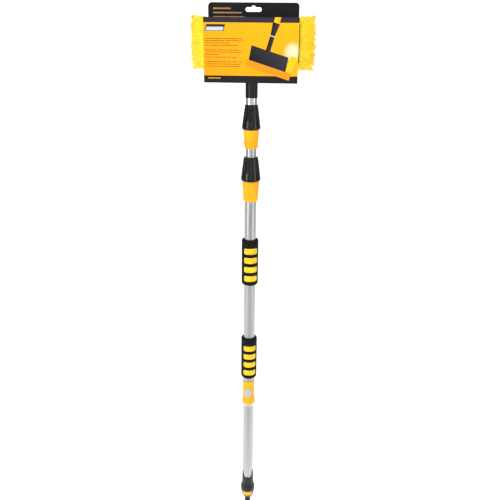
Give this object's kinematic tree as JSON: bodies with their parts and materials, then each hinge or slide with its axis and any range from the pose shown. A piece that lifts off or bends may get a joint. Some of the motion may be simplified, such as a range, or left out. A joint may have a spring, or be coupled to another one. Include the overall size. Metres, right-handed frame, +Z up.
{
  "type": "telescopic flow-through wash brush",
  "caption": "Three-section telescopic wash brush with twist locks, foam grips, a hose nipple and slide tap, and a wide flared bristle head under a folded sales card.",
  "frame": {"origin": "on the pole's axis at the free end of the hose nipple", "axes": "+Z up the pole towards the brush head, -Y towards the front with the tap's thumb pad, X along the brush head"},
  "size_m": [0.274, 0.0808, 1.321],
  "materials": {
    "black_plastic": "moulded black plastic with a fine satin grain",
    "yellow_plastic": "warm yellow moulded plastic, satin",
    "white_plastic": "natural white acetal",
    "aluminium": "satin anodised aluminium tube",
    "silver_trim": "satin silver finish",
    "foam": "closed-cell black foam, fine matt cells",
    "yellow_inlay": "soft yellow rubber inlay",
    "seal_rubber": "black nitrile rubber",
    "steel": "bright stainless steel",
    "bristle_fibre": "soft flagged yellow bristles",
    "card_board": "coated board with plain yellow and black print"
  },
  "bodies": {
    "outer_pole": {"hose_nipple": "black_plastic", "nipple_o_ring": "seal_rubber", "connector_body": "black_plastic", "connector_sleeve": "yellow_plastic", "filter_washer": "seal_rubber", "hose_filter": "white_plastic", "end_collar": "black_plastic", "handle_tube": "aluminium", "tap_ring": "silver_trim", "valve_body": "yellow_plastic", "outer_tube": "aluminium", "lower_grip": "foam", "lower_grip_windows": "yellow_inlay", "upper_grip": "foam", "upper_grip_windows": "yellow_inlay", "lower_collar": "yellow_plastic", "lower_wiper": "seal_rubber", "lower_collet": "white_plastic"},
    "tap_slide": {"valve_pad": "silver_trim", "valve_spool": "white_plastic", "spool_seals": "seal_rubber"},
    "lower_nut": {"lower_lock_nut": "black_plastic"},
    "middle_section": {"middle_tube": "aluminium", "middle_guide": "black_plastic", "middle_guide_seal": "seal_rubber", "upper_collar": "yellow_plastic", "upper_wiper": "seal_rubber", "upper_collet": "white_plastic"},
    "upper_nut": {"upper_lock_nut": "black_plastic"},
    "inner_section": {"inner_tube": "aluminium", "inner_guide": "black_plastic", "inner_guide_seal": "seal_rubber", "ferrule": "silver_trim", "head_spigot": "white_plastic", "spigot_seals": "seal_rubber", "release_spring": "steel", "head_housing": "black_plastic", "head_gasket": "seal_rubber", "bristle_plate": "black_plastic", "head_screws": "steel", "bristles": "bristle_fibre"},
    "release": {"release_button": "black_plastic"},
    "card": {"sales_card": "card_board"}
  },
  "joints": [
    {"name": "tap_pad_slide", "type": "slide", "parent": "outer_pole", "child": "tap_slide", "axis": [0, 0, 1], "range_m": [0, 0.008]},
    {"name": "lower_nut_turn", "type": "hinge", "parent": "outer_pole", "child": "lower_nut", "pos_m": [0, 0, 0.97], "axis": [0, 0, 1], "range_deg": [0, 180]},
    {"name": "middle_section_slide", "type": "slide", "parent": "outer_pole", "child": "middle_section", "axis": [0, 0, 1], "range_m": [-0.018, 0.45]},
    {"name": "upper_nut_turn", "type": "hinge", "parent": "middle_section", "child": "upper_nut", "pos_m": [0, 0, 1.085], "axis": [0, 0, 1], "range_deg": [0, 180]},
    {"name": "inner_section_slide", "type": "slide", "parent": "middle_section", "child": "inner_section", "axis": [0, 0, 1], "range_m": [0, 0.54]},
    {"name": "release_press", "type": "slide", "parent": "inner_section", "child": "release", "axis": [0, 1, 0], "range_m": [0, 0.0046], "stiffness_N_per_m": 600, "springref_m": -0.002, "deforming": ["release_spring"]},
    {"name": "card_lift", "type": "slide", "parent": "inner_section", "child": "card", "axis": [0, 0, 1], "range_m": [0, 0.16]}
  ]
}
